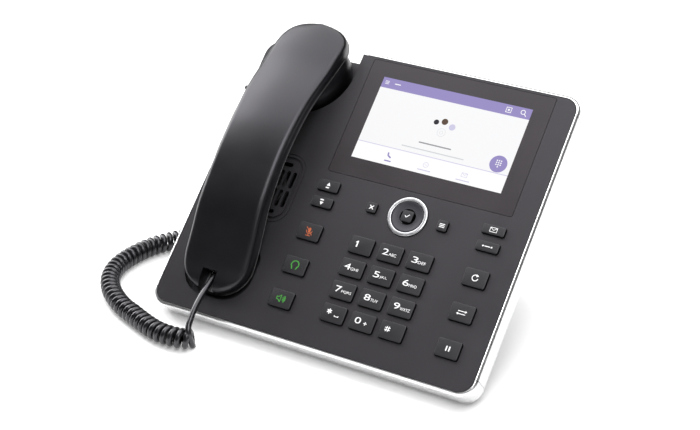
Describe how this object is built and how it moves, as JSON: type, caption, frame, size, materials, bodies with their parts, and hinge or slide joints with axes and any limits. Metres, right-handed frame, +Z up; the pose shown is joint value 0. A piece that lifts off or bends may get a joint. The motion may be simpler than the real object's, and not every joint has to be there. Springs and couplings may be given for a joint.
{
  "type": "desk ip phone",
  "caption": "Sloped desk phone with a colour display, press keys, rocking pad, lift-off handset on a curly cord, rear stand and cable sockets.",
  "frame": {"origin": "on the desk under the middle of the phone without its cord", "axes": "+X to the keypad side, +Y to the back, +Z up"},
  "size_m": [0.3012, 0.2041, 0.168],
  "materials": {
    "front_cover": "fine moulded texture",
    "rear_cover": "moulded texture",
    "trim": "satin with a polished chamfer",
    "steel": "plated",
    "rubber_feet": "matt",
    "screen_lens": "clear window with a dark printed border",
    "lcd_panel": "lit display",
    "main_board": "solder resist",
    "keypad_membrane": "silicone",
    "capsules": "moulded",
    "sockets": "moulded",
    "cord": "satin jacket",
    "plugs": "clear",
    "handset": "satin",
    "keys": "satin with printed legends",
    "ok_key": "satin",
    "nav_ring": "satin",
    "nav_dish": "satin",
    "hook_plunger": "moulded"
  },
  "bodies": {
    "base": {"front_cover": "front_cover", "trim_front": "trim", "trim_left": "trim", "trim_right": "trim", "trim_rear": "trim", "rear_cover": "rear_cover", "stand": "rear_cover", "stand_screw_left": "steel", "stand_screw_right": "steel", "foot_front_left": "rubber_feet", "foot_front_right": "rubber_feet", "foot_rear_left": "rubber_feet", "foot_rear_right": "rubber_feet", "screen_lens": "screen_lens", "lcd_panel": "lcd_panel", "main_board": "main_board", "keypad_membrane": "keypad_membrane", "speaker_driver": "capsules", "base_jack": "sockets", "lan_jack": "sockets", "pc_jack": "sockets", "power_jack": "sockets", "curly_cord": "cord", "base_lead": "cord", "base_plug": "plugs"},
    "handset": {"handset_top_shell": "handset", "handset_bottom_shell": "handset", "receiver_capsule": "capsules", "microphone_capsule": "capsules", "handset_plug": "plugs", "handset_lead": "cord"},
    "hook_plunger": {"hook_plunger": "hook_plunger"},
    "nav_gimbal": {"nav_gimbal": "steel"},
    "nav_pad": {"nav_ring": "nav_ring", "nav_dish": "nav_dish"},
    "ok_key": {"ok_key": "ok_key"},
    "key_1": {"key_1": "keys"},
    "key_2": {"key_2": "keys"},
    "key_3": {"key_3": "keys"},
    "key_4": {"key_4": "keys"},
    "key_5": {"key_5": "keys"},
    "key_6": {"key_6": "keys"},
    "key_7": {"key_7": "keys"},
    "key_8": {"key_8": "keys"},
    "key_9": {"key_9": "keys"},
    "key_star": {"key_star": "keys"},
    "key_0": {"key_0": "keys"},
    "key_hash": {"key_hash": "keys"},
    "key_speaker": {"key_speaker": "keys"},
    "key_headset": {"key_headset": "keys"},
    "key_mute": {"key_mute": "keys"},
    "key_vol_down": {"key_vol_down": "keys"},
    "key_vol_up": {"key_vol_up": "keys"},
    "key_hold": {"key_hold": "keys"},
    "key_transfer": {"key_transfer": "keys"},
    "key_redial": {"key_redial": "keys"},
    "key_contacts": {"key_contacts": "keys"},
    "key_mail": {"key_mail": "keys"},
    "key_close": {"key_close": "keys"},
    "key_menu": {"key_menu": "keys"}
  },
  "joints": [
    {"name": "handset_lift", "type": "slide", "parent": "base", "child": "handset", "axis": [0, -0.6468, 0.7627], "range_m": [0, 0.06]},
    {"name": "hook_rise", "type": "slide", "parent": "base", "child": "hook_plunger", "axis": [0, -0.6468, 0.7627], "range_m": [0, 0.0025]},
    {"name": "pad_tilt_up_down", "type": "hinge", "parent": "base", "child": "nav_gimbal", "pos_m": [0.03535, -0.00605, 0.0788], "axis": [1, 0, 0], "range_deg": [-2.5, 2.5], "stiffness_Nm_per_rad": 0.4},
    {"name": "pad_tilt_left_right", "type": "hinge", "parent": "nav_gimbal", "child": "nav_pad", "pos_m": [0.03535, -0.00605, 0.0788], "axis": [0, 0.7627, 0.6468], "range_deg": [-2.5, 2.5], "stiffness_Nm_per_rad": 0.4},
    {"name": "ok_press", "type": "slide", "parent": "base", "child": "ok_key", "axis": [0, -0.6468, 0.7627], "range_m": [-0.001, 0], "stiffness_N_per_m": 300},
    {"name": "key_1_press", "type": "slide", "parent": "base", "child": "key_1", "axis": [0, -0.6468, 0.7627], "range_m": [-0.0012, 0], "stiffness_N_per_m": 300},
    {"name": "key_2_press", "type": "slide", "parent": "base", "child": "key_2", "axis": [0, -0.6468, 0.7627], "range_m": [-0.0012, 0], "stiffness_N_per_m": 300},
    {"name": "key_3_press", "type": "slide", "parent": "base", "child": "key_3", "axis": [0, -0.6468, 0.7627], "range_m": [-0.0012, 0], "stiffness_N_per_m": 300},
    {"name": "key_4_press", "type": "slide", "parent": "base", "child": "key_4", "axis": [0, -0.6468, 0.7627], "range_m": [-0.0012, 0], "stiffness_N_per_m": 300},
    {"name": "key_5_press", "type": "slide", "parent": "base", "child": "key_5", "axis": [0, -0.6468, 0.7627], "range_m": [-0.0012, 0], "stiffness_N_per_m": 300},
    {"name": "key_6_press", "type": "slide", "parent": "base", "child": "key_6", "axis": [0, -0.6468, 0.7627], "range_m": [-0.0012, 0], "stiffness_N_per_m": 300},
    {"name": "key_7_press", "type": "slide", "parent": "base", "child": "key_7", "axis": [0, -0.6468, 0.7627], "range_m": [-0.0012, 0], "stiffness_N_per_m": 300},
    {"name": "key_8_press", "type": "slide", "parent": "base", "child": "key_8", "axis": [0, -0.6468, 0.7627], "range_m": [-0.0012, 0], "stiffness_N_per_m": 300},
    {"name": "key_9_press", "type": "slide", "parent": "base", "child": "key_9", "axis": [0, -0.6468, 0.7627], "range_m": [-0.0012, 0], "stiffness_N_per_m": 300},
    {"name": "key_star_press", "type": "slide", "parent": "base", "child": "key_star", "axis": [0, -0.6468, 0.7627], "range_m": [-0.0012, 0], "stiffness_N_per_m": 300},
    {"name": "key_0_press", "type": "slide", "parent": "base", "child": "key_0", "axis": [0, -0.6468, 0.7627], "range_m": [-0.0012, 0], "stiffness_N_per_m": 300},
    {"name": "key_hash_press", "type": "slide", "parent": "base", "child": "key_hash", "axis": [0, -0.6468, 0.7627], "range_m": [-0.0012, 0], "stiffness_N_per_m": 300},
    {"name": "key_speaker_press", "type": "slide", "parent": "base", "child": "key_speaker", "axis": [0, -0.6468, 0.7627], "range_m": [-0.0012, 0], "stiffness_N_per_m": 300},
    {"name": "key_headset_press", "type": "slide", "parent": "base", "child": "key_headset", "axis": [0, -0.6468, 0.7627], "range_m": [-0.0012, 0], "stiffness_N_per_m": 300},
    {"name": "key_mute_press", "type": "slide", "parent": "base", "child": "key_mute", "axis": [0, -0.6468, 0.7627], "range_m": [-0.0012, 0], "stiffness_N_per_m": 300},
    {"name": "key_vol_down_press", "type": "slide", "parent": "base", "child": "key_vol_down", "axis": [0, -0.6468, 0.7627], "range_m": [-0.0012, 0], "stiffness_N_per_m": 300},
    {"name": "key_vol_up_press", "type": "slide", "parent": "base", "child": "key_vol_up", "axis": [0, -0.6468, 0.7627], "range_m": [-0.0012, 0], "stiffness_N_per_m": 300},
    {"name": "key_hold_press", "type": "slide", "parent": "base", "child": "key_hold", "axis": [0, -0.6468, 0.7627], "range_m": [-0.0012, 0], "stiffness_N_per_m": 300},
    {"name": "key_transfer_press", "type": "slide", "parent": "base", "child": "key_transfer", "axis": [0, -0.6468, 0.7627], "range_m": [-0.0012, 0], "stiffness_N_per_m": 300},
    {"name": "key_redial_press", "type": "slide", "parent": "base", "child": "key_redial", "axis": [0, -0.6468, 0.7627], "range_m": [-0.0012, 0], "stiffness_N_per_m": 300},
    {"name": "key_contacts_press", "type": "slide", "parent": "base", "child": "key_contacts", "axis": [0, -0.6468, 0.7627], "range_m": [-0.0012, 0], "stiffness_N_per_m": 300},
    {"name": "key_mail_press", "type": "slide", "parent": "base", "child": "key_mail", "axis": [0, -0.6468, 0.7627], "range_m": [-0.0012, 0], "stiffness_N_per_m": 300},
    {"name": "key_close_press", "type": "slide", "parent": "base", "child": "key_close", "axis": [0, -0.6468, 0.7627], "range_m": [-0.0012, 0], "stiffness_N_per_m": 300},
    {"name": "key_menu_press", "type": "slide", "parent": "base", "child": "key_menu", "axis": [0, -0.6468, 0.7627], "range_m": [-0.0012, 0], "stiffness_N_per_m": 300}
  ],
  "couplings": [
    {"joint": "hook_rise", "follows": "handset_lift", "ratio": 0.041667}
  ]
}
